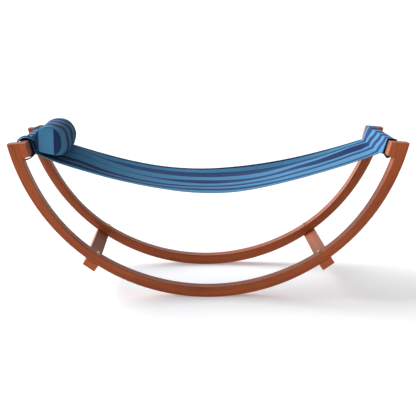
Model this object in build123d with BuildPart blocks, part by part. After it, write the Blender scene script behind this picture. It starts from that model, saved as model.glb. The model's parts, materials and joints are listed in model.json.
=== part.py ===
from build123d import *
import os
from math import cos, radians, sin, sqrt, tan

os.makedirs("parts", exist_ok=True)

# A rocking hammock: two bent rails joined by four boards, a cloth sling between the upper two.
# Millimetres. X runs from the head end to the foot end, Y across the rails, Z up from the floor.
# Sections are drawn for the foot end (side = +1) and mirrored for the head end (side = -1).

# --- driving dimensions ---
overall_width = 750.0
rail_width = 75.0            # across, along Y
rail_radius = 1028.0         # convex edge, which rolls on the floor
rail_half_length = 999.0     # X of the convex edge's top corner
top_slope = 4.0              # degrees, the top cut drops outwards
rail_edge_round = 4.0
rail_depths = [              # (degrees from the lowest point, depth), down one side
    (64, 51.0), (54, 46.5), (42, 43.5), (30, 46.5), (15, 50.3), (0, 51.0)
]

seat_angle = 73.6            # degrees from the lowest point to the middle of the crossbar
seat_depth = 54.4            # rail depth there
seat_lean = 15.2             # degrees from upright
seat_below = 45.0            # length of the flat seat below its middle

board_thickness = 35.0
board_round = 1.5
crossbar_below = 40.0        # length of the crossbar's section below its middle
stretcher_angle = 35.0       # degrees from the lowest point
stretcher_width = 70.0
seat_gap = 0.02              # a flat board on the convex edge touches it along one line

m10_radius = 5.0
m10_hole_radius = 5.2
m10_head_flats = 17.0
m10_head_height = 6.4
m10_nut_height = 8.0
m10_washer_radius = 10.5
m10_washer_thickness = 2.0
m10_recess_radius = 13.0
board_recess_depth = 9.0
spot_face_depth = 43.5       # depth of rail left under the nut's washer
m10_length = 85.0            # under the head

m8_radius = 4.0
m8_hole_radius = 4.2
m8_head_radius = 6.5
m8_head_height = 8.0
m8_socket_flats = 6.0
m8_socket_depth = 4.5
m8_washer_radius = 8.0
m8_washer_thickness = 1.6
m8_recess_radius = 10.0
m8_grip = 44.0               # wood between the washer and the seat
m8_length = 70.0             # under the head
m8_spacing = 34.0            # between the two bolts of a joint, along the seat
insert_radius = 6.0
insert_length = 20.0
running_gap = 0.05
drill_lead = 6.0             # the drills start at least this far outside the wood
drill_through = 120.0        # longer than any hole through a rail

cloth = 3.0
sleeve_gap = 0.5
sleeve_half_width = 293.0
sleeve_binding_width = 4.0
binding_proud = 0.4          # the bindings stand out from the cloth
fold_x = 877.0               # line where the sling leaves each sleeve
bed_low = 541.0              # middle of the cloth at mid length
bed_slope = 0.345            # slope that the cloth tends to towards the ends
bed_bend = 450.0             # length over which it turns from one slope to the other
bed_half_width = 267.0
bed_head_half_width = 234.0  # drawn in at the head, to leave room for the pillow loops
bed_widens_to = 750.0        # X by which it has its full width
edge_binding_width = 8.0
edge_binding_thickness = 5.0

pillow_x = -801.5
pillow_z = 781.5
pillow_radius = 70.0
pillow_half_length = 290.0
pillow_cloth = 1.4
filling_gap = 0.1
filling_layer = 4.0          # the loose fibre's mass, as a layer inside the panels
loop_inner_radius = 54.0
loop_cloth = 2.5
loop_binding_width = 3.0
loop_from = 243.0            # distance from the middle of the pillow
loop_to = 287.0
pivot_drop = 2.5             # pivot below the middle of the crossbar's section

# --- values worked out from them ---
half_width = overall_width / 2
rail_inner_face = half_width - rail_width
rail_middle = half_width - rail_width / 2
rail_top = rail_radius - sqrt(rail_radius**2 - rail_half_length**2)
m10_under_head = rail_radius + seat_gap + board_thickness - board_recess_depth + m10_washer_thickness
m10_nut_face = rail_radius - spot_face_depth - m10_washer_thickness
m8_past_seat = m8_length - m8_grip - m8_washer_thickness


def on_rail(radius, angle, side=1):
    """Point (X, Z) at a radius from the rail's centre and an angle from its lowest point."""
    return (side * radius * sin(radians(angle)), rail_radius - radius * cos(radians(angle)))


def at_seat(along, inwards, side=1):
    """Point (X, Z) from the middle of the crossbar's seat, up along it and in from it."""
    x, z = on_rail(rail_radius - seat_depth, seat_angle)
    lean = radians(seat_lean)
    x += along * sin(lean) - inwards * cos(lean)
    z += along * cos(lean) + inwards * sin(lean)
    return (side * x, z)


def at_top_cut(inwards, side=1):
    """Point (X, Z) where a line along the seat meets the level top cut."""
    x, z = at_seat(0, inwards)
    slope = tan(radians(top_slope))
    lean = radians(seat_lean)
    along = (rail_top + (rail_half_length - x) * slope - z) / (cos(lean) + sin(lean) * slope)
    return at_seat(along, inwards, side)


def bed_height(x):
    """Height of the middle of the sling's cloth."""
    return bed_low + bed_slope * (sqrt(x * x + bed_bend**2) - bed_bend)


def radial_plane(radius, angle, side, y, outwards):
    """Plane square to the rail's radius, facing away from or towards its centre."""
    x, z = on_rail(radius, angle, side)
    sign = 1 if outwards else -1
    normal = (side * sign * sin(radians(angle)), 0, -sign * cos(radians(angle)))
    return Plane(origin=(x, y, z), x_dir=(0, 1, 0), z_dir=normal)


def seat_plane(along, inwards, side, y, outwards=True):
    """Plane parallel to the crossbar's seat, facing out of the rail or into the crossbar."""
    x, z = at_seat(along, inwards, side)
    sign = 1 if outwards else -1
    normal = (side * sign * cos(radians(seat_lean)), 0, -sign * sin(radians(seat_lean)))
    return Plane(origin=(x, y, z), x_dir=(0, 1, 0), z_dir=normal)


def crossbar_corners(side):
    """Section of a crossbar, round from its outer bottom corner."""
    return [
        at_seat(-crossbar_below, 0, side),
        at_seat(-crossbar_below, board_thickness, side),
        at_top_cut(board_thickness, side),
        at_top_cut(0, side),
    ]


def sleeve_outline(side):
    """The crossbar's section drawn out to the line where the sling leaves the sleeve."""
    corners = crossbar_corners(side)
    return [corners[0], (side * fold_x, bed_height(fold_x)), corners[2], corners[3]]


def save(part, name):
    part.label = name
    export_step(part, f"parts/{name}.step")


ends = {"head": -1, "foot": 1}
rail_joint_ys = (-rail_middle, rail_middle)
seat_alongs = (-m8_spacing / 2, m8_spacing / 2)

# --- rails ---
for name, start in (("front_rail", rail_inner_face), ("back_rail", -half_width)):
    with BuildPart() as rail:
        with BuildSketch(Plane.XZ.offset(start)):
            with BuildLine():
                foot_top = (rail_half_length, rail_top)
                head_top = (-rail_half_length, rail_top)
                ThreePointArc(head_top, (0, 0), foot_top)
                Polyline(foot_top, at_top_cut(0), at_seat(-seat_below, 0))
                foot_side = [on_rail(rail_radius - depth, angle) for angle, depth in rail_depths]
                head_side = [(-x, z) for x, z in reversed(foot_side[:-1])]
                Spline(at_seat(-seat_below, 0), *foot_side, *head_side, at_seat(-seat_below, 0, -1))
                Polyline(at_seat(-seat_below, 0, -1), at_top_cut(0, -1), head_top)
            make_face()
        extrude(amount=rail_width)
        sides = rail.faces().filter_by(Axis.Y)
        long_edges = [edge for face in sides for edge in face.edges() if edge.length > rail_width]
        fillet(long_edges, rail_edge_round)
        y = -rail_middle if name == "front_rail" else rail_middle
        spot_face_start = rail_radius - spot_face_depth - drill_lead
        recess_depth = 3 * drill_lead
        for side in (-1, 1):
            with Locations(radial_plane(spot_face_start, stretcher_angle, side, y, False)):
                CounterBoreHole(m10_hole_radius, m10_recess_radius, drill_lead, drill_through)
            for along in seat_alongs:
                with Locations(seat_plane(along, -m8_grip - recess_depth, side, y)):
                    CounterBoreHole(m8_hole_radius, m8_recess_radius, recess_depth, drill_through)
    save(rail.part, name)

# --- boards and their fasteners at each end ---
for end, side in ends.items():
    with BuildPart() as crossbar:
        with BuildSketch(Plane.XZ.offset(-half_width)):
            with BuildLine():
                Polyline(*crossbar_corners(side), close=True)
            make_face()
        extrude(amount=overall_width)
        inner_edges = crossbar.edges().filter_by(Axis.Y).sort_by(Axis.X, reverse=side < 0)[:2]
        fillet(inner_edges, board_round)
        for y in rail_joint_ys:
            for along in seat_alongs:
                with Locations(seat_plane(along, 0, side, y)):
                    Hole(insert_radius + running_gap, insert_length)
                    Hole(m8_radius + running_gap, m8_past_seat + 1)
    save(crossbar.part, f"{end}_crossbar")

    with BuildPart() as crossbar_inserts:
        for y in rail_joint_ys:
            for along in seat_alongs:
                with BuildSketch(seat_plane(along, 0, side, y, outwards=False)):
                    Circle(insert_radius)
                    Circle(m8_radius + running_gap, mode=Mode.SUBTRACT)
                extrude(amount=insert_length - running_gap)
    save(crossbar_inserts.part, f"{end}_crossbar_inserts")

    with BuildPart() as crossbar_washers:
        for y in rail_joint_ys:
            for along in seat_alongs:
                with BuildSketch(seat_plane(along, -m8_grip, side, y)):
                    Circle(m8_washer_radius)
                    Circle(m8_hole_radius, mode=Mode.SUBTRACT)
                extrude(amount=m8_washer_thickness)
    save(crossbar_washers.part, f"{end}_crossbar_washers")

    with BuildPart() as crossbar_bolts:
        for y in rail_joint_ys:
            for along in seat_alongs:
                head_face = -m8_grip - m8_washer_thickness
                with BuildSketch(seat_plane(along, head_face, side, y, outwards=False)):
                    Circle(m8_radius)
                extrude(amount=m8_length)
                with BuildSketch(seat_plane(along, head_face, side, y)):
                    Circle(m8_head_radius)
                extrude(amount=m8_head_height)
                with BuildSketch(seat_plane(along, head_face - m8_head_height, side, y)):
                    RegularPolygon(m8_socket_flats / 2, 6, major_radius=False)
                extrude(amount=-m8_socket_depth, mode=Mode.SUBTRACT)
    save(crossbar_bolts.part, f"{end}_crossbar_bolts")

    with BuildPart() as stretcher:
        foot_of_board = radial_plane(rail_radius + seat_gap, stretcher_angle, side, 0, True)
        with BuildSketch(foot_of_board):
            Rectangle(overall_width, stretcher_width)
        extrude(amount=board_thickness)
        fillet(stretcher.edges().filter_by(Axis.Y), board_round)
        for y in rail_joint_ys:
            outer_face = rail_radius + seat_gap + board_thickness
            with Locations(radial_plane(outer_face, stretcher_angle, side, y, True)):
                CounterBoreHole(m10_hole_radius, m10_recess_radius, board_recess_depth, board_thickness)
    save(stretcher.part, f"{end}_stretcher")

    with BuildPart() as stretcher_bolts:
        for y in rail_joint_ys:
            with BuildSketch(radial_plane(m10_under_head, stretcher_angle, side, y, False)):
                Circle(m10_radius)
            extrude(amount=m10_length)
            with BuildSketch(radial_plane(m10_under_head, stretcher_angle, side, y, True)):
                RegularPolygon(m10_head_flats / 2, 6, major_radius=False)
            extrude(amount=m10_head_height)
    save(stretcher_bolts.part, f"{end}_stretcher_bolts")

    with BuildPart() as stretcher_washers:
        for y in rail_joint_ys:
            for face in (m10_under_head - m10_washer_thickness, m10_nut_face):
                with BuildSketch(radial_plane(face, stretcher_angle, side, y, True)):
                    Circle(m10_washer_radius)
                    Circle(m10_hole_radius, mode=Mode.SUBTRACT)
                extrude(amount=m10_washer_thickness)
    save(stretcher_washers.part, f"{end}_stretcher_washers")

    with BuildPart() as stretcher_nuts:
        for y in rail_joint_ys:
            with BuildSketch(radial_plane(m10_nut_face, stretcher_angle, side, y, False)):
                RegularPolygon(m10_head_flats / 2, 6, major_radius=False)
                Circle(m10_radius + running_gap, mode=Mode.SUBTRACT)
            extrude(amount=m10_nut_height)
    save(stretcher_nuts.part, f"{end}_stretcher_nuts")

# --- sling: a sleeve round each crossbar, the bed between them, and its bindings ---
def sleeve_section(side, start, grown):
    """Sketch of a sleeve's outline on the plane Y = -start, grown outwards by an amount."""
    with BuildSketch(Plane.XZ.offset(start)) as section:
        with BuildLine():
            Polyline(*sleeve_outline(side), close=True)
        make_face()
        offset(amount=grown)
    return section.sketch


for end, side in ends.items():
    cloth_end = sleeve_half_width - sleeve_binding_width
    with BuildPart() as sleeve:
        extrude(sleeve_section(side, -cloth_end, sleeve_gap + cloth), amount=2 * cloth_end)
        extrude(sleeve_section(side, -cloth_end, sleeve_gap), amount=2 * cloth_end, mode=Mode.SUBTRACT)
    save(sleeve.part, f"{end}_sleeve")

    with BuildPart() as sleeve_bindings:
        outside = sleeve_gap + cloth + binding_proud
        for start in (-sleeve_half_width, cloth_end):
            extrude(sleeve_section(side, start, outside), amount=sleeve_binding_width)
            extrude(sleeve_section(side, start, sleeve_gap), amount=sleeve_binding_width, mode=Mode.SUBTRACT)
    save(sleeve_bindings.part, f"{end}_sleeve_bindings")


def bed_outline(narrower):
    """Half of the bed's outline from above, on the -Y side."""
    head = bed_head_half_width - narrower
    full = bed_half_width - narrower
    return [(-rail_half_length, -head), (-fold_x, -head), (-bed_widens_to, -full), (rail_half_length, -full)]


def bed_side_view(thickness):
    """Sketch of the bed's side view, as thick as said, at its +Y edge."""
    stations = [fold_x * step / 4 for step in range(-4, 5)]
    top = [(x, bed_height(x) + thickness / 2) for x in stations]
    bottom = [(x, z - thickness) for x, z in reversed(top)]
    with BuildSketch(Plane.XZ.offset(-bed_half_width)) as side_view:
        with BuildLine():
            Spline(*top)
            Line(top[-1], bottom[0])
            Spline(*bottom)
            Line(bottom[-1], top[0])
        make_face()
    return side_view.sketch


with BuildPart() as sling_bed:
    extrude(bed_side_view(cloth), amount=2 * bed_half_width)
    outline = bed_outline(edge_binding_width)
    with BuildSketch(Plane.XY):
        with BuildLine():
            Polyline(*outline, *[(x, -y) for x, y in reversed(outline)], close=True)
        make_face()
    extrude(amount=2 * bed_low, mode=Mode.INTERSECT)
    for side in ends.values():
        inside_sleeve = sleeve_section(side, -half_width, sleeve_gap + cloth)
        extrude(inside_sleeve, amount=overall_width, mode=Mode.SUBTRACT)
save(sling_bed.part, "sling_bed")

with BuildPart() as bed_edge_bindings:
    extrude(bed_side_view(edge_binding_thickness), amount=2 * bed_half_width)
    with BuildSketch(Plane.XY):
        for mirrored in (1, -1):
            outer = [(x, mirrored * y) for x, y in bed_outline(0)]
            inner = [(x, mirrored * y) for x, y in bed_outline(edge_binding_width)]
            with BuildLine():
                Polyline(*outer, *reversed(inner), close=True)
            make_face()
    extrude(amount=2 * bed_low, mode=Mode.INTERSECT)
    for side in ends.values():
        inside_sleeve = sleeve_section(side, -half_width, sleeve_gap + cloth)
        extrude(inside_sleeve, amount=overall_width, mode=Mode.SUBTRACT)
save(bed_edge_bindings.part, "bed_edge_bindings")

# --- pillow: a bolster that hangs on the head crossbar by two loops ---
pivot_x, pivot_z = at_seat(-pivot_drop, board_thickness / 2, -1)

with BuildPart() as pillow_body_panel:
    with BuildSketch(Plane.XZ.offset(-pillow_half_length)):
        with Locations((pillow_x, pillow_z)):
            Circle(pillow_radius)
            Circle(pillow_radius - pillow_cloth, mode=Mode.SUBTRACT)
    extrude(amount=2 * pillow_half_length)
save(pillow_body_panel.part, "pillow_body_panel")

with BuildPart() as pillow_end_panels:
    for start in (-pillow_half_length, pillow_half_length - pillow_cloth):
        with BuildSketch(Plane.XZ.offset(start)):
            with Locations((pillow_x, pillow_z)):
                Circle(pillow_radius - pillow_cloth - running_gap)
        extrude(amount=pillow_cloth)
save(pillow_end_panels.part, "pillow_end_panels")

with BuildPart() as pillow_filling:
    filling_half_length = pillow_half_length - pillow_cloth - filling_gap
    filling_radius = pillow_radius - pillow_cloth - filling_gap
    with BuildSketch(Plane.XZ.offset(-filling_half_length)):
        with Locations((pillow_x, pillow_z)):
            Circle(filling_radius)
            Circle(filling_radius - filling_layer, mode=Mode.SUBTRACT)
    extrude(amount=2 * filling_half_length)
save(pillow_filling.part, "pillow_filling")


def loop_section(start, proud):
    """Sketch of a loop round the crossbar on the plane Y = -start, open where the pillow lies."""
    with BuildSketch(Plane.XZ.offset(start)) as section:
        with Locations((pivot_x, pivot_z)):
            Circle(loop_inner_radius + loop_cloth + proud)
            Circle(loop_inner_radius - proud, mode=Mode.SUBTRACT)
        with Locations((pillow_x, pillow_z)):
            Circle(pillow_radius + running_gap, mode=Mode.SUBTRACT)
    return section.sketch


loop_starts = {"front": loop_from, "back": -loop_to}
for name, start in loop_starts.items():
    with BuildPart() as pillow_loop:
        loop_width = loop_to - loop_from - 2 * loop_binding_width
        extrude(loop_section(start + loop_binding_width, 0), amount=loop_width)
    save(pillow_loop.part, f"pillow_loop_{name}")

with BuildPart() as pillow_loop_bindings:
    for start in loop_starts.values():
        for place in (start, start + loop_to - loop_from - loop_binding_width):
            extrude(loop_section(place, binding_proud), amount=loop_binding_width)
save(pillow_loop_bindings.part, "pillow_loop_bindings")
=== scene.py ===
import json
from math import atan2, cos, pi, radians, sin, sqrt

import bpy
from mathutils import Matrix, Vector, noise


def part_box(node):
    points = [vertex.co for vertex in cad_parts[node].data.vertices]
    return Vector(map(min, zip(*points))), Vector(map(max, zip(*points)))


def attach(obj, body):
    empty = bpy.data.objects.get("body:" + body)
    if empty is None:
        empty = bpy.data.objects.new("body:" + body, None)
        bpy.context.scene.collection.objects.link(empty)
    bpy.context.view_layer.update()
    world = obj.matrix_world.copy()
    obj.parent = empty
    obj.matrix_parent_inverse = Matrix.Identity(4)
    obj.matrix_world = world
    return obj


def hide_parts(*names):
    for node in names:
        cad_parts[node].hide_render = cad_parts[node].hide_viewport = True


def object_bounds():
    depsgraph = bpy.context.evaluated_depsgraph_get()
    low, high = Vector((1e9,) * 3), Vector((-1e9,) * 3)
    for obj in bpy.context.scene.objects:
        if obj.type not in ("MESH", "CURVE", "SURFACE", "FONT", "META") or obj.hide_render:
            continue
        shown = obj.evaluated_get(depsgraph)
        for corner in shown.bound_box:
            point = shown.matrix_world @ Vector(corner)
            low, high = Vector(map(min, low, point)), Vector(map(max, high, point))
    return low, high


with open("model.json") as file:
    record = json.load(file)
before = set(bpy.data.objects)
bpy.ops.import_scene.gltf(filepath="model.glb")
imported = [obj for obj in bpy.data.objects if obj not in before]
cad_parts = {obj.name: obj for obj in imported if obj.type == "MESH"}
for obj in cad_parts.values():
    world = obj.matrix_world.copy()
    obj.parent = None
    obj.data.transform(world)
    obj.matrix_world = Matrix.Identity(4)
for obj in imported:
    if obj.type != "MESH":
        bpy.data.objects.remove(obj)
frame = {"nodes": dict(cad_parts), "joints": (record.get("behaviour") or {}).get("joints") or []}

# Looks of the rocking hammock. Metres, in the CAD's frame: X head to foot, Y front to back, Z up.
cad_low, cad_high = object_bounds()
nodes = frame["nodes"]
scene = bpy.context.scene
scene.view_settings.view_transform = "Standard"


# --- small tools ---
def clamp(x, low=0.0, high=1.0):
    return max(low, min(high, x))


def smooth(x, start, end):
    """0 before start, 1 past end, with a smooth step between; start may be the greater."""
    t = clamp((x - start) / (end - start))
    return t * t * (3 - 2 * t)


def lerp(a, b, t):
    return a + (b - a) * t


def turn_between(a, b):
    """The angle from direction b to direction a, without its sign."""
    return abs((a - b + pi) % (2 * pi) - pi)


def curve(x, stations):
    """Values at x of smooth curves through the stations {x: (values)}."""
    xs = sorted(stations)
    x = clamp(x, xs[0], xs[-1])
    i = next(k for k in range(len(xs) - 1) if x <= xs[k + 1])
    near = [xs[max(0, min(len(xs) - 1, k))] for k in (i - 1, i, i + 1, i + 2)]
    (x0, x1, x2, x3), t = near, (x - xs[i]) / (xs[i + 1] - xs[i])
    out = []
    for v0, v1, v2, v3 in zip(*(stations[k] for k in near)):
        m1, m2 = (v2 - v0) / (x2 - x0) * (x2 - x1), (v3 - v1) / (x3 - x1) * (x2 - x1)
        out.append(
            (2 * t**3 - 3 * t**2 + 1) * v1
            + (t**3 - 2 * t**2 + t) * m1
            + (3 * t**2 - 2 * t**3) * v2
            + (t**3 - t**2) * m2
        )
    return out


def corner(node, toward_x, toward_z):
    """The point (x, z) of a node that lies furthest in a direction."""
    far = max((v.co for v in nodes[node].data.vertices), key=lambda p: p.x * toward_x + p.z * toward_z)
    return Vector((far.x, far.z))


def build(name, verts, faces, along, across, sharp=50):
    """A mesh that carries each point's place along and across the cloth, for the woven materials."""
    mesh = bpy.data.meshes.new(name)
    mesh.from_pydata([tuple(v) for v in verts], [], faces)
    for key, values in (("along", along), ("across", across)):
        mesh.attributes.new(key, "FLOAT", "POINT").data.foreach_set("value", values)
    mesh.shade_smooth()
    mesh.set_sharp_from_angle(angle=radians(sharp))
    obj = bpy.data.objects.new(name, mesh)
    scene.collection.objects.link(obj)
    return obj


def grid_normals(rows, closed):
    """The normal at each point of a grid; closed, if its last row meets the first."""
    n, m = len(rows), len(rows[0])
    out = []
    for i in range(n):
        before = rows[i - 1] if closed or i else rows[0]
        after = rows[(i + 1) % n] if closed or i < n - 1 else rows[n - 1]
        out.append([])
        for j in range(m):
            a = after[j] - before[j]
            b = rows[i][min(j + 1, m - 1)] - rows[i][max(j - 1, 0)]
            out[-1].append(a.cross(b).normalized())
    return out


def cloth(name, rows, across, thickness, closed=False):
    """A closed thin shell about a grid of points. Rows run along the cloth, columns across it.

    across holds one place for each column, or a list of them for each row.
    """
    n, m = len(rows), len(rows[0])
    normals = grid_normals(rows, closed)
    verts, s_along, s_across = [], [], []
    lengths = [0.0]
    for i in range(1, n):
        lengths.append(lengths[-1] + (rows[i][m // 2] - rows[i - 1][m // 2]).length)
    for sign in (0.5, -0.5):
        for i in range(n):
            for j in range(m):
                verts.append(rows[i][j] + normals[i][j] * thickness * sign)
                s_along.append(lengths[i])
                s_across.append(across[i][j] if isinstance(across[0], list) else across[j])
    back = n * m
    faces = []
    for i in range(n if closed else n - 1):
        k = (i + 1) % n
        for j in range(m - 1):
            a, b, c, d = i * m + j, k * m + j, k * m + j + 1, i * m + j + 1
            faces += [(a, b, c, d), (a + back, d + back, c + back, b + back)]
        for j, turn in ((0, 1), (m - 1, -1)):
            quad = (i * m + j, i * m + j + back, k * m + j + back, k * m + j)
            faces.append(quad[::turn])
    if not closed:
        for i, turn in ((0, -1), (n - 1, 1)):
            for j in range(m - 1):
                quad = (i * m + j, i * m + j + back, i * m + j + 1 + back, i * m + j + 1)
                faces.append(quad[::turn])
    return build(name, verts, faces, s_along, s_across)


tape_points = 14              # round the tape's section
tape_overhang = 0.0008        # how far the tape stands out past the cloth's edge
tape_square = (0.5, 0.45)     # exponents that turn the section from an ellipse towards a box; 1 is an ellipse


def tape(name, lines, inwards, normals, width, thickness, closed=False):
    """Tape folded over edges: lines of edge points, with the way in from the edge and the cloth's normal."""
    verts, faces, along, across = [], [], [], []
    for side, (line, ins, ups) in enumerate(zip(lines, inwards, normals)):
        start, walked = len(verts), 0.0
        for i, (p, into, up) in enumerate(zip(line, ins, ups)):
            walked += (p - line[i - 1]).length if i else 0.0
            for k in range(tape_points):
                a = 2 * pi * k / tape_points
                x, y = cos(a), sin(a)
                x = width / 2 * (1 - abs(x) ** tape_square[0] * (1 if x > 0 else -1)) - tape_overhang
                y = thickness / 2 * abs(y) ** tape_square[1] * (1 if y > 0 else -1)
                verts.append(p + into * x + up * y)
                along.append(walked)
                across.append(side)
        n = len(line)
        for i in range(n if closed else n - 1):
            a, b = start + i * tape_points, start + (i + 1) % n * tape_points
            for k in range(tape_points):
                after = (k + 1) % tape_points
                faces.append((a + k, a + after, b + after, b + k))
        if not closed:
            faces.append(tuple(start + k for k in range(tape_points))[::-1])
            faces.append(tuple(start + (n - 1) * tape_points + k for k in range(tape_points)))
    return build(name, verts, faces, along, across, 60)


def ring_tapes(name, rows, width, thickness):
    """Tape on both open edges of a closed ring of cloth."""
    normals = grid_normals(rows, True)
    lines = [[row[j] for row in rows] for j in (0, -1)]
    ups = [[row[j] for row in normals] for j in (0, -1)]
    ins = [[Vector((0, sign, 0))] * len(rows) for sign in (1, -1)]
    return tape(name, lines, ins, ups, width, thickness, closed=True)


# --- materials ---
class Tree:
    """Short names for making shader nodes."""

    def __init__(self, name):
        self.material = bpy.data.materials.new(name)
        self.material.use_nodes = True
        self.nodes, self.links = self.material.node_tree.nodes, self.material.node_tree.links
        self.shader = self.nodes["Principled BSDF"]

    def put(self, socket, value):
        if isinstance(value, bpy.types.NodeSocket):
            self.links.new(value, socket)
        else:
            socket.default_value = value

    def add(self, kind, inputs=(), **settings):
        made = self.nodes.new("ShaderNode" + kind)
        for key, value in settings.items():
            setattr(made, key, value)
        for key, value in dict(inputs).items():
            self.put(made.inputs[key], value)
        return made

    def math(self, operation, a, b=0.0):
        return self.add("Math", {0: a, 1: b}, operation=operation).outputs[0]

    def times(self, a, b):
        return self.math("MULTIPLY", a, b)

    def vector(self, x, y, z):
        return self.add("CombineXYZ", {0: x, 1: y, 2: z}).outputs[0]

    def noise(self, at, scale=1.0, detail=4.0, rough=0.55):
        inputs = {"Vector": at, "Scale": scale, "Detail": detail, "Roughness": rough}
        return self.add("TexNoise", inputs).outputs["Fac"]

    def ramp(self, factor, stops):
        made = self.add("ValToRGB", {0: factor})
        band = made.color_ramp
        while len(band.elements) < len(stops):
            band.elements.new(0.5)
        for element, (place, colour) in zip(band.elements, stops):
            element.position = place
            element.color = (*colour, 1)
        return made.outputs[0]

    def mix(self, factor, a, b, kind="MIX"):
        made = self.add("Mix", data_type="RGBA", blend_type=kind)
        self.put(made.inputs["Factor"], factor)
        self.put(made.inputs[6], a if isinstance(a, bpy.types.NodeSocket) else (*a, 1))
        self.put(made.inputs[7], b if isinstance(b, bpy.types.NodeSocket) else (*b, 1))
        return made.outputs[2]

    def bump(self, height, strength, distance):
        made = self.add("Bump", {"Height": height, "Strength": strength, "Distance": distance})
        self.links.new(made.outputs[0], self.shader.inputs["Normal"])

    def finish(self, **values):
        for key, value in values.items():
            self.put(self.shader.inputs[key.replace("_", " ")], value)
        return self.material


def place(tree):
    parts = tree.add("SeparateXYZ", {0: tree.add("TexCoord").outputs["Object"]})
    return parts.outputs


# The stained wood's colours: dark, middle and light grain, and the two of its ends.
stain = ((0.170, 0.031, 0.0048), (0.318, 0.060, 0.0088), (0.375, 0.081, 0.0140))
end_stain = ((0.33, 0.066, 0.011), (0.40, 0.088, 0.016))


def wood(name, grain, tone=1.0, ends=False):
    """Stained hardwood.

    grain gives the place along the grain and the two places across it; ends, that it shows end grain.
    """
    t = Tree(name)
    u, v, w = grain(t)

    def stretched(along, across):
        return t.vector(t.times(u, along), t.times(v, across), t.times(w, across))

    figure = t.noise(stretched(1.89, 42.0), 1.0, 5.0, 0.6)
    fibre = t.noise(stretched(18.9, 420.0), 1.0, 3.0, 0.6)
    broad = t.noise(stretched(2.2, 9.0))
    colour = t.ramp(figure, [(at, [c * tone for c in shade]) for at, shade in zip((0.25, 0.5, 0.75), stain)])
    pores = t.ramp(fibre, [(0.36, (0.62, 0.55, 0.5)), (0.47, (1, 1, 1))])
    colour = t.mix(0.55, colour, pores, "MULTIPLY")
    if ends:
        facing = t.add("SeparateXYZ", {0: t.add("TexCoord").outputs["Normal"]}).outputs[1]
        facing = t.add("MapRange", {0: t.math("ABSOLUTE", facing), 1: 0.85, 2: 0.98}).outputs[0]
        colour = t.mix(facing, colour, t.mix(broad, *end_stain))
    clouds = t.ramp(broad, [(0.3, (0.86, 0.84, 0.83)), (0.7, (1.06, 1.05, 1.04))])
    colour = t.mix(0.35, colour, clouds, "MULTIPLY")
    rough = t.add("MapRange", {0: fibre, 3: 0.52, 4: 0.38}).outputs[0]
    t.bump(fibre, 0.35, 0.0006)
    return t.finish(
        Base_Color=colour,
        Roughness=rough,
        Specular_IOR_Level=0.27,
        Sheen_Weight=0.17,
        Sheen_Roughness=0.35,
        Sheen_Tint=(1, 0.9, 0.87, 1),
    )


# The rails' convex edge has a radius of 0.5145 of the object's length, and its lowest point is at the origin.
rail_centre_z = (cad_high.x - cad_low.x) * 0.5145


def rail_grain(t):
    """Grain that follows the rails' curve: angle along it, thickness and radius across it."""
    x, y, z = place(t)
    down = t.math("SUBTRACT", rail_centre_z, z)
    radius = t.math("SQRT", t.math("ADD", t.times(x, x), t.times(down, down)))
    return t.math("ARCTAN2", x, down), y, radius


def board_grain(t):
    x, y, z = place(t)
    return y, x, z


def metal(name, colour, roughness):
    t = Tree(name)
    at = t.add("TexCoord").outputs["Object"]
    cloud = t.noise(at, 120.0, 3.0)
    fine = t.noise(at, 1500.0, 2.0)
    shade = t.mix(cloud, [c * 0.8 for c in colour], [min(1, c * 1.15) for c in colour])
    t.bump(fine, 0.15, 0.0001)
    rough = t.add("MapRange", {0: cloud, 3: roughness - 0.08, 4: roughness + 0.1}).outputs[0]
    return t.finish(Base_Color=shade, Roughness=rough, Metallic=1.0)


def woven(name, colour_of, pitch=0.0011):
    """Plain-weave cloth, of the colour that colour_of gives each place; pitch is the width of two threads."""
    t = Tree(name)
    along = t.add("Attribute", attribute_name="along").outputs["Fac"]
    across = t.add("Attribute", attribute_name="across").outputs["Fac"]

    def streaks(along_scale, across_scale, seed, detail=2.0):
        return t.noise(t.vector(t.times(along, along_scale), t.times(across, across_scale), seed), 1.0, detail)

    over = t.times(*(t.math("SINE", t.times(axis, 2 * pi / pitch)) for axis in (along, across)))
    weave = t.math("ADD", t.times(over, 0.5), 0.5)
    slub = streaks(6.0, 420.0, 0.0)
    weft = streaks(300.0, 12.0, 3.0)
    worn = streaks(9.0, 14.0, 7.0, 4.0)
    colour = colour_of(t, along, across)
    # (strength, texture, its darkest and its lightest factor)
    layers = ((0.5, slub, 0.80, 1.12), (0.3, weft, 0.85, 1.1), (0.5, worn, 0.86, 1.1), (0.25, weave, 0.75, 1.1))
    for strength, texture, low, high in layers:
        shade = t.ramp(texture, [(0.25, (low,) * 3), (0.75, (high,) * 3)])
        colour = t.mix(strength, colour, shade, "MULTIPLY")
    t.bump(t.math("ADD", weave, t.times(slub, 0.6)), 0.5, 0.0004)
    return t.finish(
        Base_Color=colour,
        Roughness=0.9,
        Specular_IOR_Level=0.12,
        Sheen_Weight=0.08,
        Sheen_Roughness=0.5,
        Sheen_Tint=(0.4, 0.6, 1, 1),
    )


light_blue, navy, black = (0.072, 0.250, 0.445), (0.019, 0.044, 0.136), (0.006, 0.007, 0.010)
# The hems are one tape; the back hem's darker navy is painted shade.
hem_blue, hem_shade_navy = (0.10, 0.27, 0.41), (0.014, 0.028, 0.075)
sling_half = 0.29             # half the flat cloth's width
# Navy stripes, as (middle, width): across the sling, along the pillow's body, and across the pillow's ends.
sling_stripes = [(-0.191, 0.069), (-0.049, 0.072), (0.083, 0.058), (0.209, 0.079)]
ring_stripes = [(-0.095, 0.085), (0.055, 0.080), (0.185, 0.080)]
end_stripes = [(-0.0580, 0.031), (0.0535, 0.042)]
stripe_blur = 0.0025          # half a stripe edge's blur, as a share of the ramp
stripe_fray = 0.003


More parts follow.
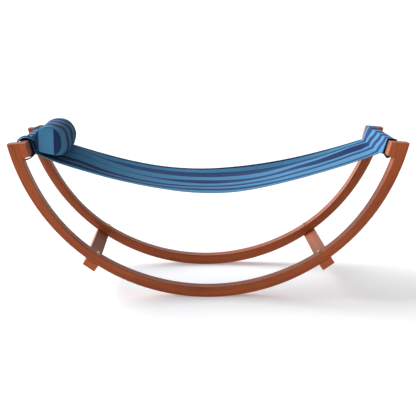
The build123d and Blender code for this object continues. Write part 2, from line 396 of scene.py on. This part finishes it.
def striped(stripes, half, pale_painted_shade=1.0, deep_painted_shade=1.0):
    """Navy stripes on light blue, over places from -half to half; the two factors darken the light blue and the
    navy, as painted shade.
    """
    pale, deep = [c * pale_painted_shade for c in light_blue], [c * deep_painted_shade for c in navy]
    stops = [(0.0, pale)]
    for middle, width in stripes:
        for edge, colour in ((middle - width / 2, deep), (middle + width / 2, pale)):
            at = clamp((edge + half) / (2 * half))
            stops += [(max(0.0, at - stripe_blur), stops[-1][1]), (min(1.0, at + stripe_blur), colour)]

    def colour_of(t, along, across):
        fray = t.noise(t.vector(t.times(along, 25.0), 0.0, 0.0), 1.0, 3.0)
        frayed = t.math("ADD", across, t.times(t.math("SUBTRACT", fray, 0.5), stripe_fray))
        return t.ramp(t.math("DIVIDE", t.math("ADD", frayed, half), 2 * half), stops)
    return colour_of


def plain(colour):
    def colour_of(t, along, across):
        cloud = t.noise(t.vector(t.times(along, 60.0), across, 0.0))
        return t.mix(cloud, [c * 0.8 for c in colour], [c * 1.2 for c in colour])
    return colour_of


def front_and_shaded_back(t, along, across):
    """The bed's hems, one tape: one colour for the front one, where across is 0, and a darker one for the back
    one, which is painted shade.
    """
    return t.mix(across, hem_blue, hem_shade_navy)


tape_pitch = 0.0016
rail_wood = wood("rail_wood", rail_grain)
board_wood = wood("board_wood", board_grain, 1.08, True)
yellow_zinc = metal("yellow_zinc", (0.84, 0.70, 0.42), 0.34)
insert_brass = metal("insert_brass", (0.62, 0.46, 0.20), 0.4)
sling_cloth = woven("sling_cloth", striped(sling_stripes, sling_half))
# The pillow's cloths are darker copies of the sling's striped cloth: the darkening is painted shade.
pillow_ring_shaded_cloth = woven("pillow_body_shaded_cloth", striped(ring_stripes, sling_half, 0.8, 0.72))
pillow_end_shaded_cloth = woven("pillow_end_shaded_cloth", striped(end_stripes, 0.075, 0.85, 0.72))
loop_cloth = woven("pillow_loop_cloth", plain(light_blue))
black_tape = woven("sling_binding", plain(black), tape_pitch)
hem_tape = woven("bed_binding", front_and_shaded_back, tape_pitch)

for name, node in nodes.items():
    material = yellow_zinc
    if name.endswith("_rail"):
        material = rail_wood
    elif name.endswith(("_crossbar", "_stretcher")):
        material = board_wood
    elif name.endswith("_inserts"):
        material = insert_brass
    elif "sleeve" in name or "bed" in name or "pillow" in name:
        continue
    node.data.materials.clear()
    node.data.materials.append(material)


def dress(obj, material, body="stand"):
    obj.data.materials.append(material)
    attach(obj, body)


# --- sling ---
bed_low, bed_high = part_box("sling_bed")
fold_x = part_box("foot_sleeve")[0].x + 0.0025     # where the bed meets each sleeve
fold_z = bed_high.z - 0.001
bed_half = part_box("bed_edge_bindings")[1].y
head_half = bed_half - 0.033  # half the bed's width at the head, where it is drawn in
head_widens_to = -0.75
cloth_thick = 0.0022
bend = 0.45                   # length over which the sag turns from one slope to the other
hem_sags = (-0.0188, 0.0222)  # the hems' heights at mid length, from the CAD bed's lowest point
strip_blur = 0.009            # half the width of the bend between two strips
stations, bed_columns = 150, 116


def sag(x):
    """0 at mid length, 1 at the folds."""
    return (sqrt(x * x + bend * bend) - bend) / (sqrt(fold_x * fold_x + bend * bend) - bend)


# Strips of the cloth from the front hem to the back one: how wide each is,
# and how steeply it lies at some places along the bed, in degrees up towards the back.
strip_widths = (0.072, 0.058, 0.0795, 0.063, 0.0765, 0.048, 0.068, 0.070, 0.045)
strip_slopes = {
    -0.67: (-1.4, 3.3, -4.6, 1.3, 19, -13, 19, -12, 10),
    -0.57: (-3.6, -1.8, -6, 1, 16, -13, 17, -9, 27),
    -0.45: (-4, -3, -5.5, -0.7, 12.5, -12, 16, 1, 27),
    -0.30: (-4.5, -4, -5, -2.3, 8.6, -7.5, 16, 4, 26),
    -0.04: (0, -2, -3.5, -3, -1, 11, 7, 8.7, 26),
    0.22: (-3.9, -1, -2.8, -2.4, -0.3, 2.5, 10.6, 6.4, 38),
    0.35: (-4.9, -2.8, -1.1, -3.6, 3.5, 0.5, 9.4, 1.5, 42),
    0.49: (-6, -3, 3.4, -3.2, 3.1, 9, 3.6, -3.5, 37),
    0.60: (-5.3, -3, 5.3, -0.9, -0.9, 20, 2.1, -4, 32),
    0.77: (-5.7, -2, 7.6, 0.5, -2.5, 31, -4, -4.5, 14),
}
# How far the front hem and the back one leave their even sag.
hem_lift = {
    -0.88: (-0.006, 0.006),
    -0.74: (-0.009, 0.0085),
    -0.60: (-0.008, 0.002),
    -0.48: (-0.006, -0.0027),
    -0.36: (-0.002, -0.0048),
    -0.24: (0.001, -0.0045),
    -0.12: (0.001, -0.002),
    0.00: (0.0, 0.0003),
    0.12: (-0.002, 0.002),
    0.24: (-0.0015, 0.0005),
    0.36: (-0.0007, -0.0025),
    0.50: (-0.0015, -0.0053),
    0.62: (-0.0028, -0.0055),
    0.74: (-0.003, -0.0045),
    0.88: (0.0, 0.0),
}


def hem_heights(x):
    """Heights of the front hem and the back one."""
    return [
        lerp(bed_low.z + low, end, sag(x)) + lift
        for low, end, lift in zip(hem_sags, (fold_z, fold_z + 0.001), curve(x, hem_lift))
    ]


def bed_row(x):
    """Points across the bed at one length: the rise of each strip, summed, between the two hems."""
    slopes = curve(x, strip_slopes)
    edges = [0.0]
    for width in strip_widths:
        edges.append(edges[-1] + width)
    total = edges[-1]
    step = total / bed_columns
    ys, zs = [0.0], [0.0]
    for k in range(bed_columns):
        s = (k + 0.5) * step
        past = [smooth(s, edge - strip_blur, edge + strip_blur) for edge in edges]
        weights = [a - b for a, b in zip(past, past[1:])]
        weights[0] += 1 - past[0]
        weights[-1] += past[-1]
        slope = radians(sum(w * g for w, g in zip(weights, slopes)) / sum(weights))
        ys.append(ys[-1] + cos(slope) * step)
        zs.append(zs[-1] + sin(slope) * step)
    half = lerp(head_half, bed_half, smooth(x, -fold_x, head_widens_to))
    front, back = hem_heights(x)
    flat = 1 - 0.45 * smooth(abs(x), fold_x - 0.05, fold_x)
    row = []
    for y, z in zip(ys, zs):
        t = y / ys[-1]
        ripple = (z - zs[-1] * t) * flat
        ripple += 0.0012 * noise.noise(Vector((x * 3.1, t * 9.0, 0.5))) * sin(pi * t)
        row.append(Vector((x, lerp(-half, half, t), lerp(front, back, t) + ripple)))
    return row


bed_rows = [bed_row(lerp(-fold_x, fold_x, i / stations)) for i in range(stations + 1)]
bed_across = [lerp(-sling_half, sling_half, j / bed_columns) for j in range(bed_columns + 1)]
bed = cloth("sling_bed_cloth", bed_rows, bed_across, cloth_thick)
dress(bed, sling_cloth)
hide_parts("sling_bed")

bed_normals = grid_normals(bed_rows, False)
hem_lines, hem_ins, hem_ups = [], [], []
for j, inner in ((0, 3), (bed_columns, bed_columns - 3)):
    hem_lines.append([row[j] for row in bed_rows[1:-1]])
    hem_ins.append([(row[inner] - row[j]).normalized() for row in bed_rows[1:-1]])
    hem_ups.append([row[j] for row in bed_normals[1:-1]])
hems = tape("bed_hems", hem_lines, hem_ins, hem_ups, 0.0105, 0.0050)
dress(hems, hem_tape)
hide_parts("bed_edge_bindings")


def rounded(points, radius):
    """A closed path at a distance outside a convex polygon; its count of points depends only on the corners'."""
    arc, straight = 5, 9      # points at each corner and along each side
    path = []
    n = len(points)
    normals = []
    for i in range(n):
        a, b = points[i], points[(i + 1) % n]
        d = (b - a).normalized()
        normals.append(Vector((d.y, -d.x)))
    if sum((points[(i + 1) % n] - points[i]).dot(normals[i - 1]) for i in range(n)) > 0:
        normals = [-v for v in normals]
    for i in range(n):
        before, after = normals[i - 1], normals[i]
        for k in range(arc):
            path.append(points[i] + before.lerp(after, k / (arc - 1)).normalized() * radius)
        a, b = points[i] + after * radius, points[(i + 1) % n] + after * radius
        path += [a.lerp(b, (k + 1) / (straight + 1)) for k in range(straight)]
    return path


pivot = Vector((frame["joints"][0]["pos_m"][0], frame["joints"][0]["pos_m"][2]))
swing_clear = 0.0466          # what the pillow swings round stays inside this radius
fold_clear = 0.056            # and this one where the bed pulls on the head's sleeve
loops_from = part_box("pillow_loop_back")[0].y + 0.0095
sleeve_columns = 120
slack_x = 0.9045              # where the slack under the foot sleeve's open ends hangs; the head's mirrors it


def sleeve(end, side, half, fold_row, half_bed, held_out, puff, gather, skew, wander):
    """Cloth round a crossbar, drawn out to the fold where the bed pulls it and close round the bar at its ends.

    half and half_bed are half the widths of the sleeve and of the bed at its fold, and held_out how far past
    the bed's front and back hems it stays drawn out. puff is how far the cloth stands off the bar, gather how
    tight its creases lie, skew how far its stripes lean, and wander how far they stray.
    """
    bar = f"{end}_crossbar"
    outer_low, inner_low = corner(bar, 0.5 * side, -1), corner(bar, -side, -0.3)
    inner_top, outer_top = corner(bar, -0.5 * side, 1), corner(bar, side, 0.5)
    centre = (outer_low + inner_low + inner_top + outer_top) / 4
    slack = Vector((side * slack_x, outer_low.y - 0.0065))
    hug = inner_low + Vector((-side * 0.0012, 0.005))
    loops, across = [], []
    for column in range(sleeve_columns + 1):
        y = lerp(-half, half, column / sleeve_columns)
        drawn_to = half_bed + held_out[y > 0]
        open_end = smooth(abs(y), drawn_to, drawn_to + 0.020)
        t = clamp((y / half_bed + 1) / 2)
        tip = Vector((side * fold_x, fold_row[round(t * (len(fold_row) - 1))].z))
        polygon = [
            outer_low,
            outer_low.lerp(tip, 0.5).lerp(slack, open_end),
            tip.lerp(hug, open_end),
            inner_top,
            outer_top,
        ]
        off_bar = 0.0022 + 0.0028 * smooth(abs(y), half - 0.035, half)
        path = rounded(polygon, off_bar)
        loop, places = [], []
        walked = 0.0
        for k, p in enumerate(path):
            walked += (p - path[k - 1]).length if k else 0.0
            near_fold = clamp(1 - (p - tip).length / 0.05) * (1 - open_end)
            top_side = smooth(p.y, centre.y - 0.02, inner_top.y)
            fade = (1 - near_fold) * (1 - smooth(abs(y), half - 0.03, half - 0.004))
            crease = noise.noise(Vector((y * gather, walked * 5.0, 3.3 + side))) * 0.5 + 0.5
            fine = noise.noise(Vector((y * gather * 2.7, walked * 9.0, 8.1 + side))) * 0.5 + 0.5
            rise = puff * fade * (0.25 + 0.75 * top_side) * (0.7 * crease + 0.3 * fine)
            p = p + (p - centre).normalized() * rise
            if end == "head":
                away = p - pivot
                p = pivot + away * min(1.0, lerp(swing_clear, fold_clear, near_fold) / away.length)
            loop.append(Vector((p.x, y, p.y)))
            stretch = lerp(1.0, sling_half / half_bed, near_fold)
            stray = wander * noise.noise(Vector((y * 6.0, walked * 7.0, 5.0)))
            over_top = (1 - near_fold) * smooth(p.y, tip.y, inner_top.y)
            pulled = skew * over_top * cos(clamp(y / half + 0.12, -1, 1) * pi / 2)
            places.append(clamp(y * stretch + stray + pulled, -sling_half, sling_half))
        loops.append(loop)
        across.append(places)
    rows, across_rows = [[list(row) for row in zip(*table)] for table in (loops, across)]
    if side < 0:
        rows, across_rows = rows[::-1], across_rows[::-1]
    obj = cloth(f"{end}_sleeve_cloth", rows, across_rows, cloth_thick, closed=True)
    dress(obj, sling_cloth)
    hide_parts(f"{end}_sleeve")
    edge = ring_tapes(f"{end}_sleeve_tapes", rows, 0.011, 0.0066)
    dress(edge, black_tape)
    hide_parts(f"{end}_sleeve_bindings")


sleeve("head", -1, loops_from - 0.0025, bed_rows[0], head_half, (-0.004, -0.004), 0.0075, 34.0, 0.02, 0.016)
foot_sleeve_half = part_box("foot_sleeve_bindings")[1].y + 0.002
sleeve("foot", 1, foot_sleeve_half, bed_rows[-1], bed_half, (-0.004, 0.006), 0.0040, 15.0, 0.065, 0.0)

# --- pillow ---
pillow_low, pillow_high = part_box("pillow_body_panel")
pillow_half = pillow_high.y
radius_end = (pillow_high.z - pillow_low.z) / 2 - 0.0035
front_centre = Vector((pillow_low.x + 0.0611, pillow_low.z + 0.0816))
back_centre = front_centre + Vector((0.0030, -0.0290))
# How much the radius exceeds the front end's, along the pillow.
fullness = ((0.0, 0.0), (0.03, 0.004), (0.12, 0.0075), (0.5, 0.0150), (0.8, 0.0220), (0.93, 0.018), (1.0, 0.007))
# How far the filling slides down the bed, along the pillow.
slump = {0.0: (0.013,), 0.15: (0.026,), 0.5: (0.024,), 0.85: (0.008,), 1.0: (0.003,)}
clear_of_bar = 0.0485         # the pillow's distance from the pivot
tape_dent = 0.0042            # and how much more it keeps off the head sleeve's tapes
bed_gap = 0.0030
steps, turns = 90, 96         # points along the pillow and round it
seam = 0.012                  # from the body's end to the CAD's


def radius_at(t):
    for (a, ra), (b, rb) in zip(fullness, fullness[1:]):
        if t <= b:
            return radius_end + lerp(ra, rb, (t - a) / (b - a))
    return radius_end + fullness[-1][1]


def soft_radius(t):
    if 0.03 < t < 0.97:
        return sum(radius_at(clamp(t + d)) for d in (-0.02, -0.01, 0, 0.01, 0.02)) / 5
    return radius_at(t)


def on_bed(p):
    """The height of the bed's upper side under a point; past the hems, of the nearest hem."""
    at = clamp((p.x + fold_x) / (2 * fold_x)) * stations
    i = min(int(at), stations - 1)
    heights = []
    for row in (bed_rows[i], bed_rows[i + 1]):
        j = min(range(len(row)), key=lambda k: abs(row[k].y - p.y))
        heights.append(row[j].z)
    return lerp(*heights, at - i) + bed_gap


def pillow_point(t, a, shrink=0.0):
    """A point of the pillow's cover, at t along it and angle a round it, on the bed and clear of the crossbar."""
    y = lerp(-pillow_half, pillow_half, t)
    c = front_centre.lerp(back_centre, t)
    from_end = min(t, 1 - t)
    pucker = 0.0006 * (1 - smooth(from_end, 0.0, 0.10)) * sin(26 * a)
    lump = 0.0022 * noise.noise(Vector((cos(a) * 1.6, y * 9.0, sin(a) * 1.6))) * smooth(from_end, 0.0, 0.1)
    slid = curve(t, slump)[0] * smooth(turn_between(a, radians(-55)), radians(62), 0)
    r = soft_radius(t) - shrink + lump + pucker + slid
    # The underside is flat at the front end.
    under = 0.0650 + 0.03 * smooth(t, 0.1, 0.5)
    below = cos(a - radians(-103))
    if below > 0.2:
        r = min(r, under / below)
    p = Vector((c.x + r * cos(a), y, c.y + r * sin(a)))
    p.z = max(p.z, on_bed(p))
    away = Vector((p.x, p.z)) - pivot
    over_tapes = smooth(abs(y), 0.226, 0.236) * (1 - smooth(abs(y), 0.2515, 0.257))
    clear = clear_of_bar + tape_dent * over_tapes
    if away.length < clear:
        away = away.normalized() * clear
        p.x, p.z = pivot.x + away.x, pivot.y + away.y
    return p


def body_cover(name, t_from, t_to):
    """The body's cover as one closed surface with its ends turned in."""
    verts, faces, along, across = [], [], [], []
    ts = [t_from + (t_to - t_from) * i / steps for i in range(steps + 1)]
    for t in ts:
        for k in range(turns):
            a = 2 * pi * k / turns
            verts.append(pillow_point(t, a))
            along.append(a * radius_end)
            across.append(lerp(-pillow_half, pillow_half, t) + 0.07 * smooth(sin(a), 0.5, 1.0))
    for i in range(steps):
        for k in range(turns):
            a, b = i * turns + k, i * turns + (k + 1) % turns
            faces.append((a, b, b + turns, a + turns))
    for i, turn, depth in ((0, -1, 0.006), (steps, 1, -0.006)):
        c = front_centre.lerp(back_centre, ts[i])
        base = len(verts)
        middle = Vector((c.x, lerp(-pillow_half, pillow_half, ts[i]) + depth, c.y))
        for k in range(turns):
            verts.append(verts[i * turns + k].lerp(middle, 0.12) + Vector((0, depth, 0)))
        verts.append(middle)
        along += [0.0] * (turns + 1)
        across += [across[i * turns]] * (turns + 1)
        for k in range(turns):
            a, b = i * turns + k, i * turns + (k + 1) % turns
            c0, c1 = base + k, base + (k + 1) % turns
            faces.append((a, b, c1, c0)[::turn])
            faces.append((c0, c1, base + turns)[::turn])
    return build(name, verts, faces, along, across, 75)


# An end's dome from its edge, tucked under the body's cover, to the middle: (share of the radius, rise).
dome = (
    (1.0, -0.004), (0.995, 0.0005), (0.975, 0.0032), (0.94, 0.0052), (0.88, 0.0072),
    (0.78, 0.0092), (0.62, 0.011), (0.42, 0.0124), (0.2, 0.0132),
)


def end_cover(name, t, sign):
    """A round panel, domed by the filling, with its edge drawn in at the seam."""
    verts, faces = [], []
    c = front_centre.lerp(back_centre, t)
    rim = [pillow_point(t, 2 * pi * k / turns, 0.0016) for k in range(turns)]
    middle = Vector((c.x, rim[0].y, c.y))
    for share, rise in dome:
        for k in range(turns):
            a = 2 * pi * k / turns
            p = middle.lerp(rim[k], share)
            wrinkle = 0.0007 * sin(23 * a + 1.0) * smooth(share, 0.6, 0.98)
            p.y += sign * (rise + wrinkle)
            verts.append(p)
    verts.append(middle + Vector((0, sign * 0.0134, 0)))
    verts.append(middle + Vector((0, -sign * 0.004, 0)))
    n = len(dome)
    for i in range(n - 1):
        for k in range(turns):
            a, b = i * turns + k, i * turns + (k + 1) % turns
            faces.append((a, b, b + turns, a + turns)[::-sign])
    for k in range(turns):
        a, b = (n - 1) * turns + k, (n - 1) * turns + (k + 1) % turns
        faces.append((a, b, n * turns)[::-sign])
        faces.append((k, (k + 1) % turns, n * turns + 1)[::sign])
    return build(name, verts, faces, [v.z - middle.z for v in verts], [v.x - middle.x for v in verts], 60)


t_seam = seam / (2 * pillow_half)
body = body_cover("pillow_body_cover", t_seam, 1 - t_seam)
dress(body, pillow_ring_shaded_cloth, "pillow")
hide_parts("pillow_body_panel", "pillow_filling")

ends = [end_cover("pillow_end_front", t_seam, -1), end_cover("pillow_end_back", 1 - t_seam, 1)]
for obj in ends:
    dress(obj, pillow_end_shaded_cloth, "pillow")
    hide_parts("pillow_end_panels")

loop_radius = 0.0476          # the least that clears the square crossbar all the way round
loop_points, loop_columns = 84, 12
# How much further out each loop stands: at its top, on the side away from the bed, and at its top's inner edge.
loop_slack = {-1: (0.0020, 0.0020, 0.0062), 1: (0.0012, 0.0, 0.0)}


def loop(name, side):
    """A loop of cloth sewn to the pillow and slack round the crossbar, with taped edges; side -1 is the front."""
    low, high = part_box(name)
    outer = 0.003 + max(high.y, -low.y)
    y0, y1 = sorted((side * loops_from, side * outer))
    c = front_centre.lerp(back_centre, ((y0 + y1) / 2 + pillow_half) / (2 * pillow_half))
    seam_angle = atan2(c.y - pivot.y, c.x - pivot.x)
    top, outward, inner_edge = loop_slack[side]
    rows = []
    for i in range(loop_points):
        a = seam_angle + 2 * pi * i / loop_points
        up = sin(a)
        r = loop_radius + top * smooth(up, 0.3, 1.0)
        r += outward * smooth(turn_between(a, radians(140)), radians(70), 0)
        r += 0.0115 * smooth(turn_between(a, radians(-105)), radians(65), 0)      # the slack hangs below
        r += 0.0012 * abs(noise.noise(Vector((cos(a) * 2, up * 2, side))))
        row = []
        for j in range(loop_columns + 1):
            v = j / loop_columns
            y = lerp(y0, y1, v)
            inner = v if side < 0 else 1 - v
            flare = (0.0012 + inner_edge * smooth(up, 0.0, 0.8)) * inner
            flare += 0.0008 * noise.noise(Vector((a * 2.0, y * 60, 1.0)))
            row.append(Vector((pivot.x + (r + flare) * cos(a), y, pivot.y + (r + flare) * up)))
        rows.append(row)
    across = [lerp(y0, y1, j / loop_columns) for j in range(loop_columns + 1)]
    obj = cloth(f"{name}_cloth", rows, across, cloth_thick, closed=True)
    dress(obj, loop_cloth, "pillow")
    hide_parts(name)
    edge = ring_tapes(f"{name}_tapes", rows, 0.009, 0.0058)
    dress(edge, black_tape, "pillow")
    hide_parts("pillow_loop_bindings")


loop("pillow_loop_front", -1)
loop("pillow_loop_back", 1)


# --- floor, light and camera ---
def floor_paint():
    t = Tree("floor")
    pale = (0.84, 0.84, 0.84)
    grain = t.noise(t.add("TexCoord").outputs["Object"], 30.0)
    return t.finish(
        Base_Color=t.mix(grain, [c * 0.985 for c in pale], pale),
        Roughness=0.8,
        Emission_Color=(1, 1, 1, 1),
        Emission_Strength=0.27,
    )


reach, floor_z = 30.0, -0.0005
floor_mesh = bpy.data.meshes.new("floor")
floor_corners = [(x * reach, y * reach, floor_z) for x, y in ((-1, -1), (1, -1), (1, 1), (-1, 1))]
floor_mesh.from_pydata(floor_corners, [], [(0, 1, 2, 3)])
floor = bpy.data.objects.new("floor", floor_mesh)
scene.collection.objects.link(floor)
floor.data.materials.append(floor_paint())

world = bpy.data.worlds.new("studio")
world.use_nodes = True
sky, links = world.node_tree.nodes, world.node_tree.links
direction = sky.new("ShaderNodeSeparateXYZ")
links.new(sky.new("ShaderNodeTexCoord").outputs["Generated"], direction.inputs[0])


def map_range(direction_axis, *limits):
    """A smooth step over a direction's X or Z; limits are From Min, From Max, To Min and To Max."""
    made = sky.new("ShaderNodeMapRange")
    made.interpolation_type = "SMOOTHSTEP"
    for socket, value in enumerate(limits, 1):
        made.inputs[socket].default_value = value
    links.new(direction.outputs[direction_axis], made.inputs[0])
    return made


# White at the horizon; above it, brighter to the left of the photograph than to the right.
above = map_range(0, -0.28, 0.28, 0.7, 0.15)
strength = map_range(2, 0.03, 0.12, 1.05)
links.new(above.outputs[0], strength.inputs[4])
links.new(strength.outputs[0], sky["Background"].inputs["Strength"])
sky["Background"].inputs["Color"].default_value = (1, 1, 1, 1)
scene.world = world

# (name, strength, angular size in degrees, the way its light travels)
lamps = (("key", 4.4, 50, (0.74, -0.46, -0.45)), ("fill", 0.5, 80, (0.1, 0.95, -0.3)))
for name, energy, spread, travel in lamps:
    sun = bpy.data.lights.new(name, "SUN")
    sun.energy, sun.angle = energy, radians(spread)
    lamp = bpy.data.objects.new(name, sun)
    lamp.rotation_euler = Vector(travel).to_track_quat("-Z", "Y").to_euler()
    scene.collection.objects.link(lamp)

camera = bpy.data.cameras.new("camera")
camera.lens, camera.sensor_width = 86.54, 36.0
view = bpy.data.objects.new("camera", camera)
view.location = (-0.1115, cad_low.y - 4.913, cad_high.z + 0.5829)
view.rotation_euler = (radians(90 - 11.18), 0, radians(-1.24))
scene.collection.objects.link(view)
scene.camera = view
